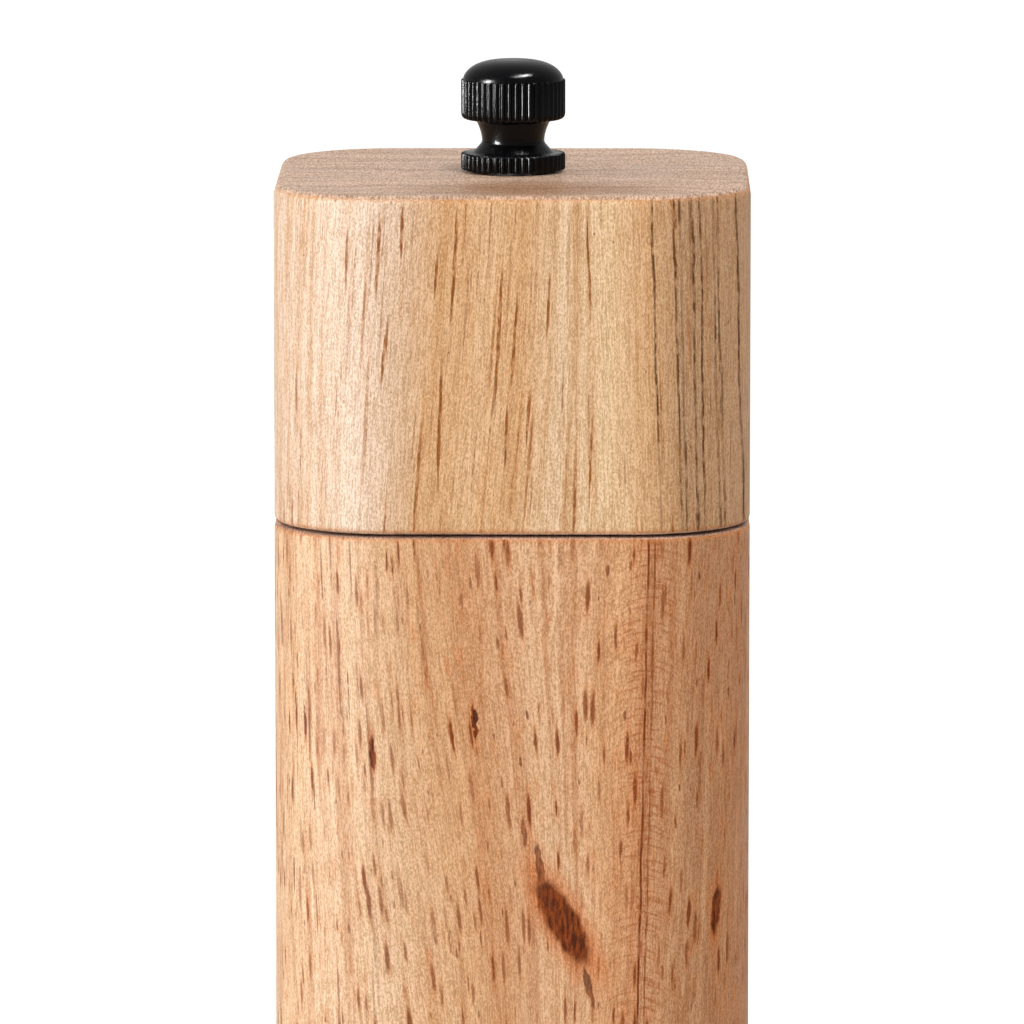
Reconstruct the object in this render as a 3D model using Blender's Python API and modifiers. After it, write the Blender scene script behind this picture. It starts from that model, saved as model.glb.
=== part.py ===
"""Square wooden pepper mill: a body, a turning head, a crown nut and a ceramic grinder.

Metres, +Z up. The origin is the centre of the base, on the surface that the mill stands on,
and every turning piece turns about the Z axis. Each piece is one closed solid, and pieces
that would touch keep a small gap.
"""

import math

import bmesh
import bpy
from mathutils import Matrix

MM = 0.001
GAP = 0.3 * MM                  # left between neighbouring pieces
MERGE = 0.001 * MM              # vertices nearer than this are one
OVER = 2.0 * MM                 # how far a cutter passes the face that it opens

# Driving dimensions: the wooden blocks
WIDTH = 58.0 * MM               # across the flats of body and head
CORNER_R = 14.5 * MM            # upright corners
BODY_H = 159.0 * MM
HEAD_H = 41.0 * MM
TOP_RIM_R = 1.2 * MM            # eased edge round the head's top
RIM_R = 0.7 * MM                # eased edges at the joint and the base
CHAMBER_R = 17.0 * MM           # pepper chamber, up to the body's top
TENON_R = CHAMBER_R - 0.4 * MM
TENON_H = 12.0 * MM

# Driving dimensions: the spindle, a square bar with a round threaded top end
SPINDLE_SIDE = 6.0 * MM
SPINDLE_CORNER_R = SPINDLE_SIDE / math.sqrt(2)
SQUARE_HOLE = SPINDLE_SIDE + 2 * GAP
HEAD_BORE_R = SPINDLE_CORNER_R + 0.5 * MM
THREAD_R = 2.5 * MM             # M5
THREAD_IN_KNOB = 9.3 * MM
SPINDLE_RISE = 1.4 * MM         # as the knob is tightened: 1.75 turns of 0.8 mm pitch

# Heights of the wooden stack
HEAD_Z = BODY_H + GAP
HEAD_TOP = HEAD_Z + HEAD_H
TENON_Z = HEAD_Z - TENON_H
KNOB_Z = HEAD_TOP + GAP

# The knob: a fluted flange, a waist, a fluted band and a low dome
KNOB_R = 6.4 * MM
WAIST_R = 3.9 * MM
WAIST_FLARE = 0.9 * MM          # how much wider the waist is at its ends
FLANGE_H = 1.85 * MM
WAIST_H = 4.1 * MM
BAND_H = 4.9 * MM
DOME_H = 2.7 * MM
BAND_Z = KNOB_Z + FLANGE_H + WAIST_H
FLUTES = 46
FLUTE_DEPTH = 0.22 * MM
FLUTE_MARGIN = 0.25 * MM        # plain edge above and below the flutes
INSERT_SEAT_R = 4.3 * MM

# Screws: one size for the housing and the drive plate
SCREW_R = 1.1 * MM
SCREW_HOLE_R = SCREW_R + GAP
SCREW_HEAD_R = 2.3 * MM
SCREW_HEAD_H = 1.3 * MM

# The drive plate, let into the underside of the tenon
PLATE_R = 13.8 * MM
PLATE_THICK = 1.25 * MM
PLATE_SCREW_X = 9.5 * MM
PLATE_SCREW_LEN = 8.5 * MM

# The grinder's housing, screwed up into a recess in the base
RECESS_R = 24.5 * MM
RECESS_TOP = 6.0 * MM
HOUSING_R = 18.7 * MM
HOUSING_TOP = 32.3 * MM
STATOR_SEAT_R = 16.4 * MM
THROAT_R = 15.4 * MM            # inside of the wall above the stator
FLANGE_R = RECESS_R - GAP
FLANGE_THICK = 2.5 * MM
FLANGE_TOP = RECESS_TOP - GAP
FLANGE_Z = FLANGE_TOP - FLANGE_THICK
HOUSING_SCREWS = 3
HOUSING_SCREW_LEN = 12.0 * MM
SCREW_CIRCLE_R = 21.6 * MM
ARMS = 3
ARM_WIDTH = 4.0 * MM
ARM_H = 3.0 * MM
HUB_R = 8.2 * MM
HUB_BORE_R = 5.7 * MM
HUB_H = 3.5 * MM
HUB_Z = HOUSING_TOP - HUB_H

# The burrs: cones that open downwards, with the narrowest gap in a band at the bottom
ROTOR_Z = 5.0 * MM
ROTOR_H = 10.0 * MM
ROTOR_R = 12.0 * MM             # over the teeth, at the bottom
STATOR_Z = 5.9 * MM
STATOR_H = 9.1 * MM
STATOR_TOP_WALL = 2.6 * MM      # the thinnest that the stator gets, at its top
BURR_SLOPE = math.tan(math.radians(20.0))
BURR_GAP = 0.8 * MM             # between the teeth, with the spindle right down
BURR_BAND_H = 4.5 * MM
BURR_TEETH = 28
TOOTH_DEPTH = 0.9 * MM          # in the coarse upper cone, and half of it in the band
ROTOR_TWIST = math.radians(22.0)
STATOR_TWIST = math.radians(-16.0)

# The stack on the spindle: core, washer, spring, bush, washer, and the hub above them
CORE_R = 5.8 * MM
CORE_FLANGE_R = 7.0 * MM
CORE_TOP = 16.0 * MM
WASHER_THICK = 0.6 * MM
WASHER_R = 7.2 * MM
SPRING_R = 5.8 * MM             # to the middle of the wire
SPRING_WIRE_R = 0.55 * MM
SPRING_TURNS = 5
BUSH_FLANGE_H = 1.2 * MM
BUSH_TOP = HOUSING_TOP + 1.0 * MM
THRUST_WASHER_Z = HUB_Z - GAP - WASHER_THICK
BUSH_Z = THRUST_WASHER_Z - GAP - BUSH_FLANGE_H
SPRING_WASHER_Z = CORE_TOP + GAP

# The washer and the screw under the rotor
ROTOR_SCREW_R = 1.5 * MM
ROTOR_SCREW_LEN = 8.5 * MM
ROTOR_SCREW_HEAD_R = 2.9 * MM
ROTOR_SCREW_HEAD_H = 1.6 * MM
ROTOR_WASHER_THICK = 0.8 * MM
ROTOR_WASHER_R = 7.5 * MM
ROTOR_WASHER_Z = ROTOR_Z - GAP - ROTOR_WASHER_THICK

# Facets
RING_SEGMENTS = 48
KNOB_SEGMENTS = 32
WASHER_SEGMENTS = 32
THREAD_SEGMENTS = 24
SCREW_SEGMENTS = 16
HOLE_SEGMENTS = 12
SPRING_STEPS = 12               # along each turn
CORNER_SEGMENTS = 8


def collection(name):
    """Make a collection in the scene."""
    made = bpy.data.collections.new(name)
    bpy.context.scene.collection.children.link(made)
    return made


def material(name, colour, roughness, metallic=0.0):
    """Make a Principled material with one colour."""
    made = bpy.data.materials.new(name)
    made.use_nodes = True
    shader = made.node_tree.nodes["Principled BSDF"]
    shader.inputs["Base Color"].default_value = (*colour, 1.0)
    shader.inputs["Roughness"].default_value = roughness
    shader.inputs["Metallic"].default_value = metallic
    made.diffuse_color = (*colour, 1.0)
    return made


def axis_empty(name, z, parent=None):
    """Make an empty on the mill's axis that carries the pieces of one moving body."""
    empty = bpy.data.objects.new(name, None)
    empty.empty_display_size = SPINDLE_SIDE
    empty["height"] = z
    empty.location.z = z - (parent["height"] if parent else 0.0)
    empty.parent = parent
    PARTS.objects.link(empty)
    return empty


def as_part(obj, look, carrier=None):
    """Put an object among the parts, with its material and the empty that carries it."""
    PARTS.objects.link(obj)
    obj.data.materials.append(look)
    if carrier:
        obj.parent = carrier
        obj.matrix_parent_inverse = Matrix.Translation((0.0, 0.0, -carrier["height"]))
    return obj


def combine(obj, tool, operation):
    """Cut a tool from an object, or join it on, with a Boolean modifier."""
    TOOLS.objects.link(tool)
    tool.display_type = "WIRE"
    tool.hide_render = True
    boolean = obj.modifiers.new(tool.name, "BOOLEAN")
    boolean.operation = operation
    boolean.solver = "EXACT"
    boolean.object = tool


def cut(obj, tool):
    combine(obj, tool, "DIFFERENCE")


def join(obj, tool):
    combine(obj, tool, "UNION")


def soften(obj):
    """Shade an object smooth, with its flat faces kept flat."""
    normals = obj.modifiers.new("normals", "WEIGHTED_NORMAL")
    normals.weight = 100


def from_bmesh(name, bm, xyz=(0.0, 0.0, 0.0)):
    """Turn a bmesh into an object."""
    for face in bm.faces:
        face.smooth = True
    mesh = bpy.data.meshes.new(name)
    bm.to_mesh(mesh)
    bm.free()
    obj = bpy.data.objects.new(name, mesh)
    obj.location = xyz
    return obj


def turned(name, profile, segments=RING_SEGMENTS, xy=(0.0, 0.0), ring=False):
    """Revolve (radius, height) points, which run down the outer side, about an upright axis.

    A ring's profile is closed. Any other starts and ends on the axis. Beside the mill's own
    axis a shape is turned by half a facet, so its corners stay off the facets that it cuts.
    """
    edges = [(i, i + 1) for i in range(len(profile) - 1)]
    if ring:
        edges.append((len(profile) - 1, 0))
    mesh = bpy.data.meshes.new(name)
    mesh.from_pydata([(radius, 0.0, height) for radius, height in profile], edges, [])
    obj = bpy.data.objects.new(name, mesh)
    obj.location = (*xy, 0.0)
    if any(xy):
        obj.rotation_euler.z = math.pi / segments
    screw = obj.modifiers.new("turn", "SCREW")
    screw.steps = segments
    screw.render_steps = segments
    screw.use_merge_vertices = True
    screw.merge_threshold = MERGE
    screw.use_smooth_shade = True
    return obj


def solid_rod(name, radius, bottom, top, segments=RING_SEGMENTS, xy=(0.0, 0.0)):
    """A plain cylinder."""
    profile = [(0.0, top), (radius, top), (radius, bottom), (0.0, bottom)]
    return turned(name, profile, segments, xy)


def tube(name, inner_r, outer_r, bottom, top, segments=RING_SEGMENTS):
    """A plain ring on the mill's axis."""
    profile = [(inner_r, top), (outer_r, top), (outer_r, bottom), (inner_r, bottom)]
    return turned(name, profile, segments, ring=True)


def box(name, size, centre, turn=0.0):
    """An upright box, turned about the Z axis by an angle in radians."""
    bm = bmesh.new()
    bmesh.ops.create_cube(bm, size=1.0)
    bmesh.ops.scale(bm, vec=size, verts=bm.verts)
    obj = from_bmesh(name, bm, centre)
    obj.rotation_euler.z = turn
    return obj


def square_rod(name, side, bottom, top):
    """An upright square bar on the mill's axis."""
    return box(name, (side, side, top - bottom), (0.0, 0.0, (bottom + top) / 2))


def rim_edges(bm, z):
    """The edges of a block that lie all round it at one height."""
    return [e for e in bm.edges if all(abs(v.co.z - z) < MERGE for v in e.verts)]


def rounded_block(name, height, z, top_rim):
    """A square block with rounded upright corners and eased top and bottom edges."""
    bm = bmesh.new()
    bmesh.ops.create_cube(bm, size=1.0)
    bmesh.ops.scale(bm, vec=(WIDTH, WIDTH, height), verts=bm.verts)
    bmesh.ops.translate(bm, vec=(0.0, 0.0, height / 2), verts=bm.verts)
    uprights = [e for e in bm.edges if abs(e.verts[0].co.z - e.verts[1].co.z) > MERGE]
    bmesh.ops.bevel(bm, geom=uprights, offset=CORNER_R, segments=CORNER_SEGMENTS,
                    profile=0.5, affect="EDGES")
    bmesh.ops.bevel(bm, geom=rim_edges(bm, height), offset=top_rim, segments=3,
                    profile=0.5, affect="EDGES")
    bmesh.ops.bevel(bm, geom=rim_edges(bm, 0.0), offset=RIM_R, segments=2,
                    profile=0.5, affect="EDGES")
    return from_bmesh(name, bm, (0.0, 0.0, z))


def fluted_disc(name, radius, bottom, top):
    """A disc with a fluted edge: every second point of its outline is pushed in."""
    bm = bmesh.new()
    bmesh.ops.create_cone(bm, cap_ends=True, segments=2 * FLUTES, radius1=radius,
                          radius2=radius, depth=top - bottom)
    pitch = math.pi / FLUTES
    for vert in bm.verts:
        column = round(math.atan2(vert.co.y, vert.co.x) / pitch)
        if column % 2:
            vert.co.x *= 1.0 - FLUTE_DEPTH / radius
            vert.co.y *= 1.0 - FLUTE_DEPTH / radius
    return from_bmesh(name, bm, (0.0, 0.0, (bottom + top) / 2))


def toothed_ring(name, rings, z):
    """Loft a burr through rings of points, up its outside and down its inside.

    Each ring is (radius, height, tooth depth, twist). A positive depth cuts inwards from the
    radius at every second point, and a negative one outwards.
    """
    bm = bmesh.new()
    count = 2 * BURR_TEETH
    loops = []
    for radius, height, depth, twist in rings:
        loop = []
        for i in range(count):
            angle = twist + math.pi * i / BURR_TEETH
            reach = radius - depth * (i % 2)
            loop.append(bm.verts.new((reach * math.cos(angle), reach * math.sin(angle), height)))
        loops.append(loop)
    for lower, upper in zip(loops, loops[1:] + loops[:1]):
        for i in range(count):
            j = (i + 1) % count
            bm.faces.new((lower[i], lower[j], upper[j], upper[i]))
    return from_bmesh(name, bm, (0.0, 0.0, z))


def make_screw(name, xy, top_of_head, head_r, head_h, shank_r, length, carrier=None):
    """A pan-head screw that points up, with a cross recess in its head."""
    bottom = top_of_head - head_h
    tip = top_of_head + length
    dome_h = 0.45 * head_h
    profile = [(0.0, tip), (shank_r, tip - 1.2 * shank_r), (shank_r, top_of_head),
               (head_r, top_of_head)]
    for i in range(4):
        angle = math.pi * i / 8
        profile.append((head_r * math.cos(angle), bottom + dome_h * (1.0 - math.sin(angle))))
    profile.append((0.0, bottom))
    screw = as_part(turned(name, profile, SCREW_SEGMENTS, xy), LOOKS["screw_steel"], carrier)
    long_side = 1.3 * head_r
    short_side = 0.35 * head_r
    for i, sides in enumerate(((long_side, short_side), (short_side, long_side))):
        cut(screw, box(f"{name}_slot_{i + 1}", (*sides, head_h), (*xy, bottom)))
    soften(screw)


def circle_places(count, radius, start=0.0):
    """Places evenly round the mill's axis, each with its angle."""
    angles = [start + 2 * math.pi * i / count for i in range(count)]
    return [((radius * math.cos(a), radius * math.sin(a)), a) for a in angles]


def drill(obj, name, bottom, top, xy):
    """Cut a screw's hole."""
    cut(obj, solid_rod(name, SCREW_HOLE_R, bottom, top, HOLE_SEGMENTS, xy))


def make_body():
    """The wooden body: a recess for the flange, a bore for the grinder, and the chamber."""
    body = as_part(rounded_block("body_block", BODY_H, 0.0, RIM_R), LOOKS["body_wood"])
    grinder_bore_r = HOUSING_R + GAP
    chamber_z = BUSH_TOP + GAP
    bore = [(0.0, BODY_H + OVER), (CHAMBER_R, BODY_H + OVER), (CHAMBER_R, chamber_z),
            (grinder_bore_r, chamber_z), (grinder_bore_r, RECESS_TOP),
            (RECESS_R, RECESS_TOP), (RECESS_R, -OVER), (0.0, -OVER)]
    cut(body, turned("body_bore", bore))
    for i, (xy, _) in enumerate(circle_places(HOUSING_SCREWS, SCREW_CIRCLE_R)):
        top = FLANGE_Z + HOUSING_SCREW_LEN + OVER
        drill(body, f"housing_pilot_{i + 1}", RECESS_TOP - OVER, top, xy)
    soften(body)


def make_head():
    """The wooden head with its tenon, a bore for the spindle and a seat for the drive plate."""
    head = as_part(rounded_block("head_block", HEAD_H, HEAD_Z, TOP_RIM_R),
                   LOOKS["head_wood"], HEAD)
    join(head, solid_rod("tenon", TENON_R, TENON_Z, HEAD_Z + OVER))
    seat_r = PLATE_R + GAP
    seat_top = TENON_Z + PLATE_THICK + GAP
    bore = [(0.0, HEAD_TOP + OVER), (HEAD_BORE_R, HEAD_TOP + OVER), (HEAD_BORE_R, seat_top),
            (seat_r, seat_top), (seat_r, TENON_Z - OVER), (0.0, TENON_Z - OVER)]
    cut(head, turned("head_bore", bore))
    for i, side in enumerate((-1, 1)):
        drill(head, f"plate_pilot_{i + 1}", TENON_Z, TENON_Z + PLATE_SCREW_LEN + OVER,
              (side * PLATE_SCREW_X, 0.0))
    soften(head)


def knob_profile():
    """The knob's turned outline without its flutes, from the top of the dome down."""
    core_r = KNOB_R - FLUTE_DEPTH - 0.1 * MM
    dome_z = BAND_Z + BAND_H
    steps = 6
    points = [(0.0, dome_z + DOME_H)]
    for i in range(1, steps + 1):
        angle = math.pi / 2 * (1 - i / steps)
        points.append((core_r * math.cos(angle), dome_z + DOME_H * math.sin(angle)))
    points.append((core_r, BAND_Z))
    for i in range(steps + 1):
        drop = i / steps
        flare = WAIST_FLARE * abs(2 * drop - 0.9) ** 2.2
        points.append((WAIST_R + flare, BAND_Z - WAIST_H * drop))
    points += [(core_r, KNOB_Z + FLANGE_H), (core_r, KNOB_Z), (0.0, KNOB_Z)]
    return points


def make_knob():
    """The knob, with a moulded-in insert that the spindle's thread runs in."""
    knob = as_part(turned("knob", knob_profile(), KNOB_SEGMENTS), LOOKS["knob_plastic"], KNOB)
    for name, bottom, height in (("flange", KNOB_Z, FLANGE_H), ("band", BAND_Z, BAND_H)):
        low = bottom + FLUTE_MARGIN
        high = bottom + height - FLUTE_MARGIN
        join(knob, fluted_disc(f"{name}_flutes", KNOB_R, low, high))
    seat_z = BAND_Z + 0.9 * MM
    seat_top = KNOB_Z + THREAD_IN_KNOB + SPINDLE_RISE + 2 * GAP
    hole_r = THREAD_R + GAP
    bore = [(0.0, seat_top), (INSERT_SEAT_R, seat_top), (INSERT_SEAT_R, seat_z),
            (hole_r, seat_z), (hole_r, KNOB_Z - OVER), (0.0, KNOB_Z - OVER)]
    cut(knob, turned("knob_bore", bore, THREAD_SEGMENTS))
    soften(knob)
    insert = tube("knob_insert", hole_r, INSERT_SEAT_R - GAP, seat_z + GAP, seat_top - GAP,
                  THREAD_SEGMENTS)
    soften(as_part(insert, LOOKS["brass"], KNOB))


def make_spindle():
    """The square spindle with its round threaded top end and a tapped hole at the bottom."""
    square_top = HEAD_Z + 0.6 * HEAD_H
    spindle = as_part(square_rod("spindle", SPINDLE_SIDE, ROTOR_Z, square_top),
                      LOOKS["aluminium"], SPINDLE)
    top = KNOB_Z + THREAD_IN_KNOB
    lead = 0.5 * MM
    thread = [(0.0, top), (THREAD_R - lead, top), (THREAD_R, top - lead),
              (THREAD_R, square_top - OVER), (0.0, square_top - OVER)]
    join(spindle, turned("spindle_thread", thread, THREAD_SEGMENTS))
    tapped_top = ROTOR_Z + ROTOR_SCREW_LEN + GAP
    cut(spindle, solid_rod("spindle_tapping", ROTOR_SCREW_R + GAP, ROTOR_Z - OVER, tapped_top,
                           SCREW_SEGMENTS))
    soften(spindle)


def make_drive_plate():
    """The steel plate under the tenon, with a square hole for the spindle, and its screws."""
    plate_top = TENON_Z + PLATE_THICK
    plate = as_part(solid_rod("drive_plate", PLATE_R, TENON_Z, plate_top),
                    LOOKS["plate_steel"], HEAD)
    cut(plate, square_rod("plate_square", SQUARE_HOLE, TENON_Z - OVER, plate_top + OVER))
    for i, side in enumerate((-1, 1)):
        xy = (side * PLATE_SCREW_X, 0.0)
        drill(plate, f"plate_hole_{i + 1}", TENON_Z - OVER, plate_top + OVER, xy)
        make_screw(f"drive_plate_screw_{i + 1}", xy, TENON_Z - GAP, SCREW_HEAD_R, SCREW_HEAD_H,
                   SCREW_R, PLATE_SCREW_LEN, HEAD)
    soften(plate)


def make_housing():
    """The grinder's cup: a flange, a wall with a shelf, and a bridge of arms round a hub."""
    shelf_z = STATOR_Z + STATOR_H + GAP
    wall = [(THROAT_R, HOUSING_TOP), (HOUSING_R, HOUSING_TOP), (HOUSING_R, FLANGE_TOP),
            (FLANGE_R, FLANGE_TOP), (FLANGE_R, FLANGE_Z), (STATOR_SEAT_R, FLANGE_Z),
            (STATOR_SEAT_R, shelf_z), (THROAT_R, shelf_z)]
    housing = as_part(turned("grinder_housing", wall, ring=True), LOOKS["housing_plastic"])
    arm_in = (HUB_R + HUB_BORE_R) / 2
    arm_out = (HOUSING_R + THROAT_R) / 2
    arm_z = (HUB_Z + HOUSING_TOP) / 2
    size = (arm_out - arm_in, ARM_WIDTH, ARM_H)
    places = circle_places(ARMS, (arm_in + arm_out) / 2, math.pi / ARMS)
    for i, (xy, angle) in enumerate(places):
        join(housing, box(f"arm_{i + 1}", size, (*xy, arm_z), angle))
    join(housing, tube("hub", HUB_BORE_R, HUB_R, HUB_Z, HOUSING_TOP))
    for i, (xy, _) in enumerate(circle_places(HOUSING_SCREWS, SCREW_CIRCLE_R)):
        drill(housing, f"flange_hole_{i + 1}", FLANGE_Z - OVER, FLANGE_TOP + OVER, xy)
        make_screw(f"housing_screw_{i + 1}", xy, FLANGE_Z - GAP, SCREW_HEAD_R, SCREW_HEAD_H,
                   SCREW_R, HOUSING_SCREW_LEN)
    soften(housing)


def make_bush():
    """The bush that turns in the hub, and the washer between its flange and the hub."""
    washer = tube("thrust_washer", HUB_BORE_R, WASHER_R, THRUST_WASHER_Z,
                  THRUST_WASHER_Z + WASHER_THICK, WASHER_SEGMENTS)
    soften(as_part(washer, LOOKS["washer_steel"], BUSH))
    sleeve_r = HUB_BORE_R - GAP
    flange_top = BUSH_Z + BUSH_FLANGE_H
    profile = [(0.0, BUSH_TOP), (sleeve_r, BUSH_TOP), (sleeve_r, flange_top),
               (WASHER_R, flange_top), (WASHER_R, BUSH_Z), (0.0, BUSH_Z)]
    bush = as_part(turned("spindle_bush", profile, WASHER_SEGMENTS), LOOKS["nylon"], BUSH)
    cut(bush, square_rod("bush_square", SQUARE_HOLE, BUSH_Z - OVER, BUSH_TOP + OVER))
    soften(bush)


def spring_points(bottom, top):
    """The wire's middle line: a coil whose first and last turns lie almost flat."""
    low = bottom + SPRING_WIRE_R
    high = top - SPRING_WIRE_R
    flat = 2.15 * SPRING_WIRE_R
    pitch = (high - low - 2 * flat) / (SPRING_TURNS - 2)
    points = []
    for i in range(SPRING_TURNS * SPRING_STEPS + 1):
        turn = i / SPRING_STEPS
        middle = min(max(turn - 1.0, 0.0), SPRING_TURNS - 2.0)
        z = low + flat * min(turn, 1.0) + pitch * middle
        z += flat * max(turn - (SPRING_TURNS - 1.0), 0.0)
        angle = 2 * math.pi * turn
        points.append((SPRING_R * math.cos(angle), SPRING_R * math.sin(angle), z))
    return points


def make_spring():
    """The spring between the bush's flange and the rotor, and the washer under it."""
    washer_top = SPRING_WASHER_Z + WASHER_THICK
    washer = tube("spring_washer", SPINDLE_CORNER_R + GAP, WASHER_R, SPRING_WASHER_Z, washer_top,
                  WASHER_SEGMENTS)
    soften(as_part(washer, LOOKS["washer_steel"], SPINDLE))
    points = spring_points(washer_top + GAP, BUSH_Z - GAP)
    curve = bpy.data.curves.new("adjusting_spring", "CURVE")
    curve.dimensions = "3D"
    curve.bevel_depth = SPRING_WIRE_R
    curve.bevel_resolution = 2
    curve.use_fill_caps = True
    spline = curve.splines.new("POLY")
    spline.points.add(len(points) - 1)
    for point, place in zip(spline.points, points):
        point.co = (*place, 1.0)
    as_part(bpy.data.objects.new("adjusting_spring", curve), LOOKS["spring_steel"], BUSH)


def make_rotor():
    """The ceramic cone, its plastic core, and the washer and screw that carry them."""
    band_r = ROTOR_R - BURR_SLOPE * BURR_BAND_H
    top_r = CORE_FLANGE_R + 0.4 * MM
    bore_r = CORE_R + GAP
    rings = [(ROTOR_R, 0.0, TOOTH_DEPTH / 2, 0.0),
             (band_r, BURR_BAND_H, TOOTH_DEPTH / 2, ROTOR_TWIST / 2),
             (top_r, ROTOR_H, TOOTH_DEPTH, ROTOR_TWIST),
             (bore_r, ROTOR_H, 0.0, ROTOR_TWIST),
             (bore_r, 0.0, 0.0, 0.0)]
    soften(as_part(toothed_ring("rotor_burr", rings, ROTOR_Z), LOOKS["ceramic"], SPINDLE))
    flange_z = ROTOR_Z + ROTOR_H + GAP
    profile = [(0.0, CORE_TOP), (CORE_FLANGE_R, CORE_TOP), (CORE_FLANGE_R, flange_z),
               (CORE_R, flange_z), (CORE_R, ROTOR_Z), (0.0, ROTOR_Z)]
    core = as_part(turned("rotor_core", profile, WASHER_SEGMENTS), LOOKS["housing_plastic"],
                   SPINDLE)
    cut(core, square_rod("core_square", SQUARE_HOLE, ROTOR_Z - OVER, CORE_TOP + OVER))
    soften(core)
    washer = tube("rotor_washer", ROTOR_SCREW_R + GAP, ROTOR_WASHER_R, ROTOR_WASHER_Z,
                  ROTOR_WASHER_Z + ROTOR_WASHER_THICK, WASHER_SEGMENTS)
    soften(as_part(washer, LOOKS["washer_steel"], SPINDLE))
    make_screw("rotor_screw", (0.0, 0.0), ROTOR_WASHER_Z - GAP, ROTOR_SCREW_HEAD_R,
               ROTOR_SCREW_HEAD_H, ROTOR_SCREW_R, ROTOR_SCREW_LEN, SPINDLE)


def make_stator():
    """The ceramic ring round the rotor, and the ring that holds it up in the housing."""
    lift = STATOR_Z - ROTOR_Z
    low_r = ROTOR_R + BURR_GAP - BURR_SLOPE * lift
    band_top = BURR_BAND_H - lift
    band_r = low_r - BURR_SLOPE * band_top
    outer_r = STATOR_SEAT_R - GAP
    rings = [(outer_r, 0.0, 0.0, 0.0),
             (outer_r, STATOR_H, 0.0, STATOR_TWIST),
             (outer_r - STATOR_TOP_WALL, STATOR_H, -TOOTH_DEPTH, STATOR_TWIST),
             (band_r, band_top, -TOOTH_DEPTH / 2, STATOR_TWIST / 2),
             (low_r, 0.0, -TOOTH_DEPTH / 2, 0.0)]
    soften(as_part(toothed_ring("stator_burr", rings, STATOR_Z), LOOKS["ceramic"]))
    inner_r = low_r + 4 * GAP
    retainer = tube("stator_retainer", inner_r, outer_r, FLANGE_Z + GAP, STATOR_Z - GAP)
    soften(as_part(retainer, LOOKS["housing_plastic"]))


for old in list(bpy.data.objects):
    bpy.data.objects.remove(old, do_unlink=True)

PARTS = collection("pepper_mill")
TOOLS = collection("cutters")

LOOKS = {
    "body_wood": material("body_wood", (0.64, 0.37, 0.22), 0.45),
    "head_wood": material("head_wood", (0.68, 0.42, 0.25), 0.42),
    "knob_plastic": material("knob_plastic", (0.012, 0.012, 0.014), 0.3),
    "brass": material("brass", (0.72, 0.52, 0.2), 0.3, 1.0),
    "aluminium": material("aluminium", (0.78, 0.79, 0.8), 0.35, 1.0),
    "plate_steel": material("plate_steel", (0.6, 0.6, 0.6), 0.35, 1.0),
    "screw_steel": material("screw_steel", (0.62, 0.61, 0.58), 0.3, 1.0),
    "washer_steel": material("washer_steel", (0.66, 0.66, 0.65), 0.3, 1.0),
    "spring_steel": material("spring_steel", (0.5, 0.5, 0.5), 0.3, 1.0),
    "housing_plastic": material("housing_plastic", (0.02, 0.02, 0.022), 0.5),
    "nylon": material("nylon", (0.75, 0.73, 0.66), 0.45),
    "ceramic": material("ceramic", (0.8, 0.79, 0.74), 0.35),
}

BUSH = axis_empty("bush_axis", HUB_Z)
SPINDLE = axis_empty("spindle_axis", ROTOR_Z, BUSH)
HEAD = axis_empty("head_axis", HEAD_Z, BUSH)
KNOB = axis_empty("knob_axis", KNOB_Z, HEAD)

make_body()
make_head()
make_knob()
make_spindle()
make_drive_plate()
make_housing()
make_bush()
make_spring()
make_rotor()
make_stator()
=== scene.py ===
"""Looks for the square wooden pepper mill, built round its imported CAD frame.

Geometry is in metres and materials are in millimetres. +Z is up, the base's centre is the
origin, and the front that the camera faces is at -Y.
"""

import math

import bmesh
import bpy
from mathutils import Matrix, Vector, noise


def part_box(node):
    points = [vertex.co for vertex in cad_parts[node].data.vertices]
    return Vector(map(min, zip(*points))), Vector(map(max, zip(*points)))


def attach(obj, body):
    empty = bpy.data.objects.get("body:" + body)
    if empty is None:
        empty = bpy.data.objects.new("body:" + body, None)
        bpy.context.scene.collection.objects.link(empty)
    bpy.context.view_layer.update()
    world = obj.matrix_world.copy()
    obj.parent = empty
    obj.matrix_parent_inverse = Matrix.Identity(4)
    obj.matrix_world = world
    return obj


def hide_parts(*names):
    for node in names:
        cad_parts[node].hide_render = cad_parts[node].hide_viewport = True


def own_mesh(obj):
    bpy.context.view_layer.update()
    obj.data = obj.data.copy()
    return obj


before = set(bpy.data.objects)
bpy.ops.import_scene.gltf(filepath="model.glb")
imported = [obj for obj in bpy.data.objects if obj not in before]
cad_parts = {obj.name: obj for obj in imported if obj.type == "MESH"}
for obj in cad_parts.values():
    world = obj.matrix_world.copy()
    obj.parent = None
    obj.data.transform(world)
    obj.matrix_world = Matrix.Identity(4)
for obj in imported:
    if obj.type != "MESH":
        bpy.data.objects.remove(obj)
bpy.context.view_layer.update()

MM = 0.001
GAP = 0.3 * MM

# Places from the CAD
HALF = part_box("body_block")[1].x
BODY_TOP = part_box("body_block")[1].z
HEAD_Z = BODY_TOP + GAP
TENON_Z, HEAD_TOP = (corner.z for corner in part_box("head_block"))
KNOB_Z, KNOB_TOP = (corner.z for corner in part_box("knob"))
KNOB_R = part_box("knob")[1].x
SPINDLE_Z, SPINDLE_TOP = (corner.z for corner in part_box("spindle"))
SPINDLE_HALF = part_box("spindle")[1].x
SPRING_Z, SPRING_TOP = (corner.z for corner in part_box("adjusting_spring"))
ROTOR_Z, ROTOR_TOP = (corner.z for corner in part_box("rotor_burr"))
ROTOR_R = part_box("rotor_burr")[1].x
STATOR_Z, STATOR_TOP = (corner.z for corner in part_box("stator_burr"))
STATOR_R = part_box("stator_burr")[1].x
PLATE_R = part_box("drive_plate")[1].x
PLATE_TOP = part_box("drive_plate")[1].z
RECESS_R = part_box("grinder_housing")[1].x + GAP
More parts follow.
